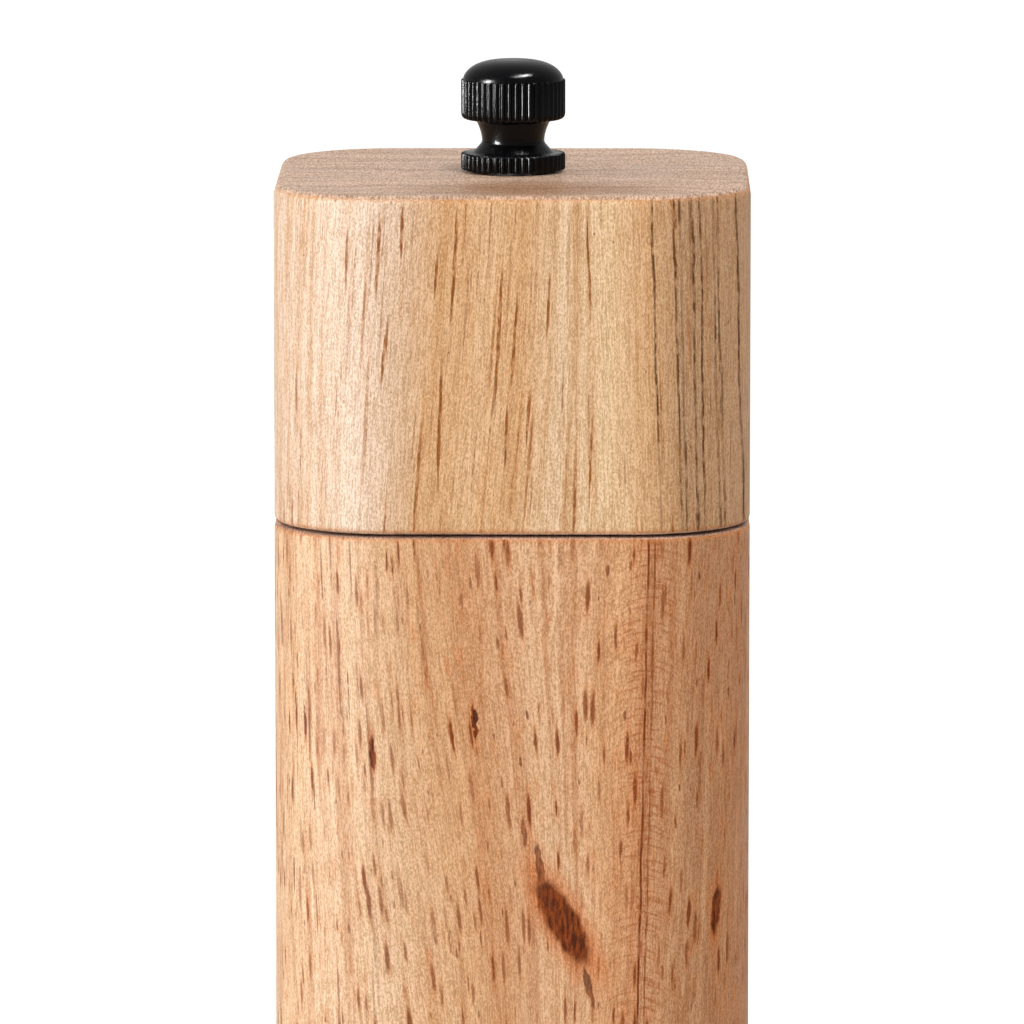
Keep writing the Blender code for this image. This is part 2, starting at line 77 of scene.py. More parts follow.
HUB_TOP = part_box("grinder_housing")[1].z

# Sizes that the CAD has too, and that a box can't give
CORNER_R = 14.5 * MM
TOP_RIM_R = 1.2 * MM
RIM_R = 0.7 * MM
CHAMBER_R = 17.0 * MM
TENON_R = 16.6 * MM
GRINDER_BORE_R = 19.0 * MM
RECESS_TOP = 6.0 * MM
HEAD_BORE_R = SPINDLE_HALF * math.sqrt(2) + 0.5 * MM
CHAMBER_Z = HUB_TOP + 1.3 * MM

AROUND = 256                    # points in each ring of a block
SANDING = 0.03 * MM             # how far hand sanding strays from flat


# ---------------------------------------------------------------- meshes

def loft(name, rings, closed=False, sharp=42.0):
    """A skin over rings of equally many points, closed to the first ring or capped."""
    bm = bmesh.new()
    loops = [[bm.verts.new(point) for point in ring] for ring in rings]
    count = len(loops[0])
    following = loops[1:] + loops[:1] if closed else loops[1:]
    for lower, upper in zip(loops, following):
        for i in range(count):
            j = (i + 1) % count
            bm.faces.new((lower[i], lower[j], upper[j], upper[i]))
    if not closed:
        bm.faces.new(loops[0])
        bm.faces.new(loops[-1])
    bmesh.ops.recalc_face_normals(bm, faces=bm.faces)
    return from_bmesh(name, bm, sharp)


def from_bmesh(name, bm, sharp=42.0):
    """Turn a bmesh into an object, smooth except at edges sharper than so many degrees."""
    for face in bm.faces:
        face.smooth = True
    mesh = bpy.data.meshes.new(name)
    bm.to_mesh(mesh)
    bm.free()
    mesh.set_sharp_from_angle(angle=math.radians(sharp))
    obj = bpy.data.objects.new(name, mesh)
    bpy.context.scene.collection.objects.link(obj)
    normals = obj.modifiers.new("normals", "WEIGHTED_NORMAL")
    normals.keep_sharp = True
    return obj


def circle(radius, z, count=AROUND, turn=0.0):
    """A ring of points round the mill's axis."""
    angles = [turn + 2 * math.pi * i / count for i in range(count)]
    return [(radius * math.cos(a), radius * math.sin(a), z) for a in angles]


def square(inset, z):
    """A ring of a block: a square with rounded corners, sanded not quite true."""
    half = HALF - inset
    corner = CORNER_R - inset
    middle = half - corner
    points = []
    for i in range(AROUND):
        angle = 2 * math.pi * i / AROUND
        along, across = sorted((abs(math.cos(angle)), abs(math.sin(angle))), reverse=True)
        reach = half / along
        if reach * across > middle:
            slack = corner ** 2 - (middle * (along - across)) ** 2
            reach = middle * (along + across) + math.sqrt(slack)
        x, y = reach * math.cos(angle), reach * math.sin(angle)
        waver = noise.noise(Vector((x, y, z)) / (16 * MM))
        reach -= SANDING * (1.0 + waver)
        points.append((reach * math.cos(angle), reach * math.sin(angle), z))
    return points


def block_side(bottom, top, bottom_rim, top_rim):
    """The rings up the outside of a block, with its two eased rims."""
    steps = 6
    rings = []
    for i in range(steps + 1):
        angle = math.pi / 2 * i / steps
        rings.append(square(bottom_rim * (1 - math.sin(angle)),
                            bottom + bottom_rim * (1 - math.cos(angle))))
    count = round((top - bottom) / (5 * MM))
    for i in range(1, count):
        rings.append(square(0.0, bottom + (top - bottom) * i / count))
    for i in range(steps + 1):
        angle = math.pi / 2 * i / steps
        rings.append(square(top_rim * (1 - math.cos(angle)),
                            top - top_rim * (1 - math.sin(angle))))
    return rings


def body_shell():
    """The body: outside, then down through the chamber and the grinder's bore."""
    bevel = 0.5 * MM
    bore = [(CHAMBER_R + bevel, BODY_TOP), (CHAMBER_R, BODY_TOP - bevel),
            (CHAMBER_R, CHAMBER_Z), (GRINDER_BORE_R, CHAMBER_Z),
            (GRINDER_BORE_R, RECESS_TOP), (RECESS_R, RECESS_TOP),
            (RECESS_R, bevel), (RECESS_R + bevel, 0.0)]
    rings = block_side(0.0, BODY_TOP, RIM_R, RIM_R)
    rings += [circle(radius, z) for radius, z in bore]
    return loft("body_shell", rings, closed=True)


def head_shell():
    """The head: the bore and the tenon, then up the outside."""
    bevel = 0.5 * MM
    seat_r = PLATE_R + GAP
    seat_top = PLATE_TOP + GAP
    bore = [(HEAD_BORE_R + bevel, HEAD_TOP), (HEAD_BORE_R, HEAD_TOP - bevel),
            (HEAD_BORE_R, seat_top), (seat_r, seat_top), (seat_r, TENON_Z),
            (TENON_R - 2 * bevel, TENON_Z), (TENON_R, TENON_Z + 2 * bevel),
            (TENON_R, HEAD_Z)]
    rings = [circle(radius, z) for radius, z in bore]
    rings += block_side(HEAD_Z, HEAD_TOP, RIM_R, TOP_RIM_R)
    return loft("head_shell", rings, closed=True)


def eased(corners, steps=5):
    """An outline's points, with its corners rounded. A corner is (radius, height, rounding)."""
    points = []
    for i, (radius, height, rounding) in enumerate(corners):
        corner = Vector((radius, height))
        if not rounding:
            points.append((radius, height))
            continue
        before, after = (Vector(corners[j][:2]) for j in (i - 1, i + 1))
        first = corner + (before - corner).normalized() * rounding
        last = corner + (after - corner).normalized() * rounding
        for k in range(steps + 1):
            share = k / steps
            point = first.lerp(corner, share).lerp(corner.lerp(last, share), share)
            points.append((point.x, point.y))
    return points


def fluted_ring(radius, height, share):
    """A ring of the knob in mm, cut by round grooves to a share of their full depth."""
    flutes = 46
    steps = 12
    groove = 0.36
    points = []
    for i in range(flutes * steps):
        angle = 2 * math.pi * i / (flutes * steps)
        cut = (0.5 - 0.5 * math.cos(2 * math.pi * i / steps)) ** 1.3
        reach = (radius - groove * share * cut) * MM
        points.append((reach * math.cos(angle), reach * math.sin(angle), KNOB_Z + height * MM))
    return points


def knob_shell():
    """The crown nut, in mm: the insert's bore, flange, cone, waist, fluted band and dome."""
    rim_r = KNOB_R / MM
    hole_r = 2.8
    seat_r, seat_z, seat_top = 4.3, 6.85, 11.3
    flange_top = 2.08
    neck_r, neck_z = 3.83, 3.6
    flare, flare_h = 0.77, 2.5
    band_z, band_top = 6.2, 11.1
    dome_r = rim_r - 0.24
    dome_h = (KNOB_TOP - KNOB_Z) / MM - band_top

    bore = [(0.3, seat_top), (seat_r, seat_top), (seat_r, seat_z), (hole_r, seat_z)]
    outline = eased([(hole_r, 0.0, 0.0), (rim_r, 0.0, 0.28), (rim_r, flange_top, 0.28),
                     (4.95, flange_top, 0.25), (neck_r + 0.03, 3.32, 0.2), (neck_r, neck_z, 0.0)])
    steps = 8
    for i in range(1, steps + 1):
        share = i / steps
        outline.append((neck_r + flare * share ** 1.7, neck_z + flare_h * share))
    outline += eased([(4.85, band_z, 0.0), (rim_r, band_z, 0.8), (rim_r, band_top, 0.12),
                      (dome_r + 0.06, band_top, 0.0)])
    dome = []
    steps = 20
    for i in range(steps):
        share = math.cos(math.pi / 2 * i / steps) ** 0.8
        dome.append((dome_r * share, band_top + dome_h * (1 - share ** 3) ** 0.59))

    rings = [fluted_ring(radius, height, 0.0) for radius, height in bore]
    for radius, height in outline:
        share = min(1.0, max(0.0, (radius - rim_r + 0.55) / 0.4))
        rings.append(fluted_ring(radius, height, share))
    rings += [fluted_ring(radius, height, 0.0) for radius, height in dome]
    return loft("knob_shell", rings, sharp=70.0)


def spindle_bar():
    """The square bar with its tapped lower end and a rolled thread on the upper end."""
    square_top = HEAD_Z + 0.6 * (HEAD_TOP - HEAD_Z)
    thread_r = 2.5 * MM
    depth = 0.42 * MM
    pitch = 0.8 * MM
    count = 48
    tapped_r = 1.8 * MM
    edge = 0.35 * MM

    def bar(inset, z):
        half = SPINDLE_HALF - inset
        ring = []
        for i in range(count):
            angle = 2 * math.pi * (i + 0.5) / count
            c, s = math.cos(angle), math.sin(angle)
            reach = min(half / max(abs(c), abs(s)), (half - edge) * (abs(c) + abs(s)) + edge)
            ring.append((reach * c, reach * s, z))
        return ring

    def threaded(z, share):
        ring = []
        for i in range(count):
            turn = (i + 0.5) / count
            phase = (z / pitch - turn) % 1.0
            cut = min(1.0, max(0.0, 1.35 * abs(2 * phase - 1) - 0.15))
            reach = thread_r - depth * share * cut - 0.02 * MM
            angle = 2 * math.pi * turn
            ring.append((reach * math.cos(angle), reach * math.sin(angle), z))
        return ring

    half_step = 180.0 / count
    tapped = [(0.2 * MM, SPINDLE_Z + 8.8 * MM), (tapped_r, SPINDLE_Z + 8.8 * MM),
              (tapped_r, SPINDLE_Z + edge), (tapped_r + edge, SPINDLE_Z)]
    rings = [circle(radius, z, count, math.radians(half_step)) for radius, z in tapped]
    rings += [bar(edge, SPINDLE_Z), bar(0.0, SPINDLE_Z + edge)]
    steps = 12
    for i in range(1, steps + 1):
        rings.append(bar(0.0, SPINDLE_Z + edge + (square_top - SPINDLE_Z - 3 * edge) * i / steps))
    rings += [bar(edge, square_top - edge), bar(2 * edge, square_top)]
    start = square_top + 0.1 * MM
    slices = round((SPINDLE_TOP - start) / (pitch / 10))
    for i in range(slices + 1):
        z = start + (SPINDLE_TOP - start) * i / slices
        fade = min(1.0, (z - start) / (1.5 * MM))
        ring = threaded(z, fade)
        lead = max(0.0, z - (SPINDLE_TOP - 0.5 * MM))
        rings.append([(x * (1 - lead / thread_r), y * (1 - lead / thread_r), h)
                      for x, y, h in ring])
    return loft("spindle_bar", rings)


def spring_coil():
    """The adjusting spring: round wire, with its first and last turns almost closed."""
    turns = 5
    steps = 40
    wire_r = 0.55 * MM
    coil_r = 5.8 * MM
    flat = 2.15 * wire_r
    low = SPRING_Z + wire_r
    high = SPRING_TOP - wire_r
    pitch = (high - low - 2 * flat) / (turns - 2)
    around = 14
    rings = []
    for i in range(turns * steps + 1):
        turn = i / steps
        middle = min(max(turn - 1.0, 0.0), turns - 2.0)
        z = low + flat * min(turn, 1.0) + pitch * middle + flat * max(turn - turns + 1.0, 0.0)
        angle = 2 * math.pi * turn
        ring = []
        for k in range(around):
            side = 2 * math.pi * k / around
            reach = coil_r + wire_r * math.cos(side)
            ring.append((reach * math.cos(angle), reach * math.sin(angle),
                         z + wire_r * math.sin(side)))
        rings.append(ring)
    return loft("spring_coil", rings)


def burr(name, z, stations, inside):
    """A ceramic burr with 28 spiral saw teeth.

    A station is (radius, height, tooth depth, twist in degrees). Teeth are cut inwards, or
    outwards when the teeth are on the inside. The last two stations are the plain wall.
    """
    form = (0.0, 0.25, 0.6, 0.9, 1.0, 0.65)
    teeth = 28
    count = teeth * len(form)
    rings = []
    for (r0, h0, d0, t0), (r1, h1, d1, t1) in zip(stations, stations[1:]):
        steps = 6 if d0 and d1 else 1
        for k in range(steps):
            mixed = [a + (b - a) * k / steps for a, b in ((r0, r1), (h0, h1), (d0, d1), (t0, t1))]
            rings.append(mixed)
    rings.append(list(stations[-1]))
    loops = []
    for radius, height, depth, twist in rings:
        loop = []
        for i in range(count):
            angle = math.radians(twist) + 2 * math.pi * i / count
            sign = 1.0 if inside else -1.0
            reach = (radius + sign * depth * form[i % len(form)]) * MM
            loop.append((reach * math.cos(angle), reach * math.sin(angle), z + height * MM))
        loops.append(loop)
    return loft(name, loops, closed=True)


def rotor_cone():
    """The rotor's teeth, coarse above and fine in the grinding band."""
    rotor_r = ROTOR_R / MM
    height = (ROTOR_TOP - ROTOR_Z) / MM
    slope = math.tan(math.radians(20.0))
    band_r = rotor_r - slope * 4.5
    stations = [(rotor_r - 0.25, 0.0, 0.2, 0.0), (rotor_r, 0.35, 0.45, 1.0),
                (band_r, 4.5, 0.45, 11.0), (7.4, height - 0.3, 0.9, 21.0),
                (7.2, height, 0.5, 22.0), (6.1, height, 0.0, 22.0), (6.1, 0.0, 0.0, 0.0)]
    return burr("rotor_cone", ROTOR_Z, stations, inside=False)


def stator_ring():
    """The stator's teeth, which lean the other way from the rotor's."""
    slope = math.tan(math.radians(20.0))
    low_r = ROTOR_R / MM + 0.8 - slope * 0.9
    band_r = low_r - slope * 3.6
    outer = STATOR_R / MM
    height = (STATOR_TOP - STATOR_Z) / MM
    stations = [(low_r + 0.2, 0.0, 0.3, 0.0), (low_r, 0.3, 0.45, -1.0), (band_r, 3.6, 0.45, -8.0),
                (outer - 2.6, height, 0.9, -16.0), (outer, height, 0.0, -16.0),
                (outer, 0.0, 0.0, 0.0)]
    return burr("stator_ring", STATOR_Z, stations, inside=True)


# ---------------------------------------------------------------- materials

class Graph:
    """A material's node tree, with short ways to add the nodes that looks here need."""

    def __init__(self, name, **fixed):
        self.material = bpy.data.materials.new(name)
        self.material.use_nodes = True
        self.tree = self.material.node_tree
        self.shader = self.tree.nodes["Principled BSDF"]
        for socket, value in fixed.items():
            self.shader.inputs[socket.replace("_", " ")].default_value = value
        coords = self.node("ShaderNodeTexCoord")
        self.normal = coords.outputs["Normal"]
        scaled = self.node("ShaderNodeVectorMath", {0: coords.outputs["Object"], "Scale": 1 / MM},
                           operation="SCALE")
        self.place = scaled.outputs[0]

    def node(self, kind, inputs=None, **settings):
        made = self.tree.nodes.new(kind)
        for name, value in settings.items():
            setattr(made, name, value)
        for key, value in (inputs or {}).items():
            self.feed(made.inputs[key], value)
        return made

    def feed(self, socket, value):
        """Link a socket to another, or set its value."""
        if isinstance(value, bpy.types.NodeSocket):
            self.tree.links.new(value, socket)
        else:
            socket.default_value = value

    def maths(self, operation, a, b=0.0, c=0.0, clamp=False):
        made = self.node("ShaderNodeMath", {0: a, 1: b, 2: c}, operation=operation,
                         use_clamp=clamp)
        return made.outputs[0]

    def add(self, a, b):
        return self.maths("ADD", a, b)

    def times(self, a, b):
        return self.maths("MULTIPLY", a, b)

    def split(self, place):
        made = self.node("ShaderNodeSeparateXYZ", {0: place})
        return made.outputs[0], made.outputs[1], made.outputs[2]

    def join(self, x, y, z):
        return self.node("ShaderNodeCombineXYZ", {0: x, 1: y, 2: z}).outputs[0]

    def stretch(self, place, x, y, z, shift=0.0):
        """Coordinates in which x, y and z mm are one unit long."""
        made = self.node("ShaderNodeMapping", {"Vector": place, "Scale": (1 / x, 1 / y, 1 / z),
                                               "Location": (shift, shift / 2, -shift)})
        return made.outputs[0]

    def noise(self, place, detail=2.0, roughness=0.5):
        made = self.node("ShaderNodeTexNoise", {"Vector": place, "Scale": 1.0, "Detail": detail,
                                                "Roughness": roughness})
        return made.outputs[0]

    def swing(self, place, size, detail=2.0):
        """Noise centred on nought, from about -size to +size."""
        return self.times(self.add(self.noise(place, detail), -0.5), 3.0 * size)

    def cells(self, place):
        """The distance to the nearest of many strewn points, and three random numbers."""
        made = self.node("ShaderNodeTexVoronoi", {"Vector": place, "Scale": 1.0})
        return made.outputs["Distance"], self.split(made.outputs["Color"])

    def remap(self, value, low, high, to_low=0.0, to_high=1.0, kind="SMOOTHSTEP"):
        made = self.node("ShaderNodeMapRange", {0: value, 1: low, 2: high, 3: to_low, 4: to_high},
                         interpolation_type=kind)
        return made.outputs[0]

    def mix(self, amount, a, b, blend="MIX"):
        made = self.node("ShaderNodeMix", {0: amount, 6: colour(a), 7: colour(b)},
                         data_type="RGBA", blend_type=blend)
        return made.outputs[2]

    def bands(self, across, tones):
        """Colours that blend from one to the next across a block. A tone is (mm, colour)."""
        half = HALF / MM
        ramp = self.node("ShaderNodeValToRGB", {0: self.remap(across, -half, half, kind="LINEAR")})
        marks = ramp.color_ramp.elements
        for i, (at, tone) in enumerate(tones):
            share = 0.5 + 0.5 * at / half
            mark = marks[i] if i < 2 else marks.new(share)
            mark.position = share
            mark.color = colour(tone)
        return ramp.outputs[0]

    def finish(self, base, roughness, height):
        """Link colour and roughness, and raise the surface by a height in millimetres."""
        self.feed(self.shader.inputs["Base Color"], base)
        self.feed(self.shader.inputs["Roughness"], roughness)
        bump = self.node("ShaderNodeBump", {"Height": height, "Distance": MM, "Strength": 1.0})
        self.feed(self.shader.inputs["Normal"], bump.outputs[0])
        return self.material


def colour(value):
    """A colour given as red, green and blue, with alpha added."""
    if isinstance(value, tuple) and len(value) == 3:
        return (*value, 1.0)
    return value


def srgb(red, green, blue):
    """A linear colour from the 0 to 255 values of a screen."""
    return tuple(((v / 255 + 0.055) / 1.055) ** 2.4 for v in (red, green, blue))


def vessels(g, grain, wide, long, size, shift, dark=(0.2, 1.0)):
    """How dark cut-open vessels make the wood: slim ellipsoids strewn through it.

    A cell is wide x wide x long mm, and size is the range of an ellipsoid's radius in cells.
    """
    distance, chance = g.cells(g.stretch(grain, wide, wide, long, shift))
    radius = g.remap(chance[0], 0.0, 1.0, size[0], size[1], "LINEAR")
    inner = g.times(radius, 0.5)
    mask = g.remap(distance, radius, inner)
    return g.times(mask, g.remap(chance[1], 0.0, 1.0, dark[0], dark[1], "LINEAR"))


def lens(g, x, y, z, at, size, lean):
    """A mark inside the wood: 1 in the middle of a leaning ellipsoid and 0 at its skin."""
    tilt = math.radians(lean)
    dx = g.add(x, -at[0])
    dz = g.add(z, -at[2])
    across = g.add(g.times(dx, math.cos(tilt) / size[0]), g.times(dz, math.sin(tilt) / size[0]))
    along = g.add(g.times(dx, -math.sin(tilt) / size[2]), g.times(dz, math.cos(tilt) / size[2]))
    deep = g.times(g.add(y, -at[1]), 1.0 / size[1])
    length = g.node("ShaderNodeVectorMath", {0: g.join(across, deep, along)}, operation="LENGTH")
    return g.maths("SUBTRACT", 1.0, length.outputs["Value"], clamp=True)


def most(g, values):
    """The greatest of several values."""
    result = values[0]
    for value in values[1:]:
        result = g.maths("MAXIMUM", result, value)
    return result


def streaks(g, x, y, z, marks):
    """Long vessel lines on the front. A mark is (x, z, half length, half width, lean)."""
    front = -HALF / MM
    found = []
    for at_x, at_z, long, wide, lean in marks:
        mask = lens(g, x, y, z, (at_x, front, at_z), (wide, 2.5, long), lean)
        found.append(g.remap(mask, 0.1, 0.5))
    return most(g, found)


def seams(g, across, places, half_width):
    """Thin dark edges of growth rings, standing at so many mm across the block."""
    found = []
    for at in places:
        found.append(g.remap(g.maths("ABSOLUTE", g.add(across, -at)), half_width, half_width / 3))
    return most(g, found)


def fibres(g, grain):
    """Fine fibre speckle, from about -1 to 1: grains, short fibres and long ones."""
    grains = g.swing(g.stretch(grain, 0.13, 0.13, 0.36), 2.1, 1.0)
    short = g.swing(g.stretch(grain, 0.17, 0.17, 3.0), 1.4, 1.0)
    long = g.swing(g.stretch(grain, 0.45, 0.45, 25.0, 3.0), 0.4, 2.0)
    return g.add(grains, g.add(short, long))


def end_grain(g):
    """1 on faces that cut straight across the grain, and 0 on the sides."""
    _, _, up = g.split(g.normal)
    return g.remap(g.maths("ABSOLUTE", up), 0.55, 0.85)


def lean_grain(g, middle_z, leans, wobble):
    """Coordinates that follow the grain, which leans differently from left to right.

    A lean is (x, sideways mm for each mm up), and the first one holds as far as the second.
    """
    x, y, z = g.split(g.place)
    slope = leans[0][1]
    for (x0, k0), (x1, k1) in zip(leans, leans[1:]):
        slope = g.add(slope, g.remap(x, x0, x1, 0.0, k1 - k0))
    rise = g.times(g.maths("TANH", g.times(g.add(z, -middle_z), 1 / 60)), 60.0)
    wave_x = g.swing(g.stretch(g.place, 22.0, 22.0, 70.0), wobble)
    wave_y = g.swing(g.stretch(g.place, 22.0, 22.0, 70.0, 9.0), wobble)
    fray = g.swing(g.stretch(g.place, 0.5, 0.5, 1.3), 0.09, 3.0)
    u = g.add(g.add(x, g.times(slope, rise)), g.add(wave_x, fray))
    v = g.add(g.add(y, wave_y), fray)
    return g.join(u, v, z), (x, y, z)


def slanted(g, grain):
    """Millimetres across the front, along growth rings that slant forward to the right."""
    u, v, _ = g.split(grain)
    return g.add(u, g.times(g.add(v, HALF / MM), -0.5))


def head_wood():
    """Straw-coloured sapwood with long thin brown vessel lines, crowded towards the right."""
    g = Graph("head_wood_lacquered", Specular_IOR_Level=0.06)
    middle = (HEAD_Z + HEAD_TOP) / 2 / MM
    grain, (x, y, z) = lean_grain(g, middle, [(-25.0, -0.055), (-2.0, -0.075), (18.0, 0.035)], 0.8)
    cream, tan, gold, brown = (srgb(224, 192, 162), srgb(210, 163, 116), srgb(222, 184, 140),
                               srgb(194, 150, 110))
    across = g.split(grain)[0]
    # The pale cream over the left corner, and the paler streak at -18.5 mm, are partly the wood's
    # tone and partly a painted sheen of the key light on that corner.
    base = g.bands(slanted(g, grain), [
        (-29.0, cream), (-21.0, cream), (-18.5, srgb(228, 198, 170)), (-16.5, cream),
        (-9.5, tan), (-4.0, srgb(217, 173, 128)), (1.0, tan), (6.0, srgb(222, 187, 148)),
        (12.0, gold), (17.0, tan), (20.0, brown)])
    lines = g.noise(g.stretch(grain, 1.3, 1.3, 120.0), 4.0, 0.6)
    base = g.mix(g.remap(lines, 0.45, 0.75, 0.0, 0.7), base, srgb(192, 136, 82))

    broken = g.remap(g.noise(g.stretch(grain, 0.5, 0.5, 1.6, 2.0)), 0.35, 0.55, 0.3, 1.0)
    strewn = vessels(g, grain, 0.7, 30.0, (0.08, 0.36), 1.7, (0.15, 0.9))
    fine = vessels(g, grain, 0.45, 24.0, (0.12, 0.42), 6.3, (0.1, 0.8))
    specks = vessels(g, grain, 2.2, 3.0, (0.03, 0.1), 4.1, (0.3, 1.0))
    seen = streaks(g, g.add(x, g.swing(g.stretch(g.place, 0.7, 0.7, 2.5), 0.12, 3.0)), y, z, [
        (-19.8, 192.4, 6.5, 0.26, -2.0), (-16.0, 193.0, 7.5, 0.32, -3.0),
        (-15.2, 181.5, 5.6, 0.28, -6.0), (-13.1, 196.0, 4.6, 0.26, -2.0),
        (-9.0, 190.8, 4.0, 0.24, -4.0), (-6.8, 192.0, 9.5, 0.26, -3.0),
        (-8.6, 172.5, 11.0, 0.28, -2.0), (-1.5, 183.5, 12.0, 0.3, -3.0),
        (0.4, 182.8, 7.5, 0.26, -4.0), (-0.6, 171.0, 5.2, 0.26, -3.0),
        (2.1, 174.0, 5.2, 0.26, -4.0), (4.5, 187.0, 5.5, 0.24, -3.0),
        (9.3, 192.0, 9.5, 0.2, 2.0), (9.6, 168.5, 8.0, 0.2, -2.0)])
    sway = g.swing(g.stretch(g.place, 3.0, 9.0, 16.0, 5.0), 0.35)
    ring_edges = seams(g, g.add(across, sway), (17.6, 20.2, 20.8, 22.1, 23.0, 24.6, 25.1, 27.3), 0.2)
    worn = g.noise(g.stretch(g.place, 2.0, 9.0, 22.0))
    ring_edges = g.times(ring_edges, g.remap(worn, 0.3, 0.6, 0.2))
    dark = g.times(most(g, [strewn, fine, seen]), broken)
    dark = g.maths("MAXIMUM", dark, specks)

    soft = vessels(g, grain, 0.7, 30.0, (0.2, 0.6), 1.7, (0.2, 0.8))
    base = g.mix(g.times(g.maths("MAXIMUM", soft, seen), 0.55), base, srgb(202, 134, 70))
    base = g.mix(g.times(dark, 0.92), base, srgb(140, 74, 16))
    base = g.mix(g.times(g.times(ring_edges, broken), 0.92), base, srgb(88, 46, 18))
    # The darker patch on the top face in front of the knob is partly the wood's own tone and partly
    # a painted shadow of the knob.
    patch = g.remap(lens(g, x, y, z, (3.0, -20.0, HEAD_TOP / MM), (22.0, 13.0, 9.0), 0.0), 0.0, 0.8)
    end_tone = g.mix(g.times(patch, 0.7), srgb(231, 196, 168), srgb(180, 128, 84))
    base = rim_wear_and_shade(g, base, z, (HEAD_Z, HEAD_TOP))
    return lacquer(g, grain, base, g.maths("MAXIMUM", dark, ring_edges), end_tone)


def body_wood():
    """Pinker wood with short dark dashes, a ray figure at the right corner and a dark knot."""
    g = Graph("body_wood_lacquered", Specular_IOR_Level=0.06)
    grain, (x, y, z) = lean_grain(g, 130.0, [(-24.0, 0.06), (-8.0, 0.12), (20.0, -0.05)], 1.2)
    cream, tan, pink, red = (srgb(226, 186, 146), srgb(206, 153, 108), srgb(214, 166, 121),
                             srgb(184, 123, 80))
    base = g.bands(slanted(g, grain), [
        (-29.0, srgb(224, 184, 144)), (-26.0, cream), (-17.0, cream), (-9.0, pink),
        (-3.0, srgb(200, 146, 102)), (6.0, srgb(219, 175, 134)), (12.0, tan),
        (14.8, srgb(202, 146, 102)), (15.8, srgb(192, 134, 92)), (17.6, srgb(200, 148, 106)),
        (21.5, srgb(186, 132, 92)), (26.0, red)])
    blush = g.remap(g.noise(g.stretch(grain, 3.0, 3.0, 22.0, 3.0)), 0.48, 0.75, 0.0, 0.25)
    base = g.mix(blush, base, srgb(208, 140, 92))
    lines = g.noise(g.stretch(grain, 1.1, 1.1, 90.0, 7.0), 3.0)
    base = g.mix(g.remap(lines, 0.45, 0.75, 0.0, 0.7), base, srgb(182, 120, 76))
    glints = g.noise(g.stretch(grain, 1.6, 1.6, 60.0, 11.0), 3.0)
    base = g.mix(g.remap(glints, 0.5, 0.8, 0.0, 0.5), base, srgb(226, 178, 130))

    dashes = vessels(g, grain, 0.8, 6.8, (0.12, 0.44), 1.2, (0.35, 1.0))
    halo = vessels(g, grain, 0.8, 6.8, (0.26, 0.66), 1.2, (0.3, 1.0))
    ghosts = vessels(g, grain, 1.4, 5.0, (0.1, 0.42), 3.7, (0.2, 0.8))
    small = vessels(g, grain, 1.2, 5.0, (0.06, 0.2), 5.5, (0.3, 0.9))
    hairs = g.times(vessels(g, grain, 0.7, 30.0, (0.14, 0.42), 2.9), g.remap(x, -13.0, -20.0))
    dark = most(g, [dashes, small, hairs])
    base = g.mix(g.times(g.maths("MAXIMUM", halo, ghosts), 0.5), base, srgb(200, 116, 54))
    base = g.mix(g.times(dark, 0.92), base, srgb(114, 44, 8))
    base = ray_figure(g, base, x, y, z)
    base, knot = knots(g, base, x, y, z)
    base = rim_wear_and_shade(g, base, z, (0.0, BODY_TOP))
    return lacquer(g, grain, base, g.maths("MAXIMUM", dark, g.times(knot, 0.5)), srgb(222, 182, 156))


def rim_wear_and_shade(g, base, z, rims):
    """Wood browned along its rims, at these heights: partly sanding wear, and partly painted shade
    at the rims by the gap between head and body and by the floor.
    """
    near = [g.remap(g.maths("ABSOLUTE", g.add(z, -rim / MM)), 0.9, 0.2) for rim in rims]
    return g.mix(g.times(most(g, near), 0.5), base, srgb(196, 118, 58))


def ray_figure(g, base, x, y, z):
    """The edge of a growth ring up the right of the front, with feathery rays across it."""
    front = g.remap(y, -18.0, -22.0)
    line_x = g.remap(z, 100.0, 159.0, 15.3, 16.6, "LINEAR")
    off = g.add(g.add(x, g.times(line_x, -1.0)), g.swing(g.stretch(g.place, 6.0, 6.0, 9.0), 0.25))
    away = g.maths("ABSOLUTE", off)
    bow = g.times(g.times(away, away), 0.1)
    waves = g.noise(g.stretch(g.join(g.times(off, 0.35), y, g.add(z, bow)), 1.0, 1.0, 0.36), 2.0)
    reach = g.times(g.remap(away, 6.0, 1.0), front)
    base = g.mix(g.times(reach, g.remap(waves, 0.5, 0.68, 0.0, 0.75)), base, srgb(172, 102, 60))
    stroke = g.remap(g.noise(g.stretch(g.place, 2.0, 2.0, 3.5, 4.0)), 0.3, 0.6, 0.4, 1.0)
    pair = g.maths("MAXIMUM", seams(g, off, (0.0,), 0.2), g.times(seams(g, off, (0.8,), 0.16), 0.7))
    pair = g.times(g.times(pair, stroke), front)
    spots = g.remap(g.noise(g.stretch(g.place, 0.8, 3.0, 1.4, 8.0)), 0.6, 0.7, 0.0, 0.6)
    base = g.mix(g.times(g.times(spots, g.remap(away, 1.2, 0.3)), front), base, srgb(150, 66, 34))
    return g.mix(pair, base, srgb(118, 56, 28))


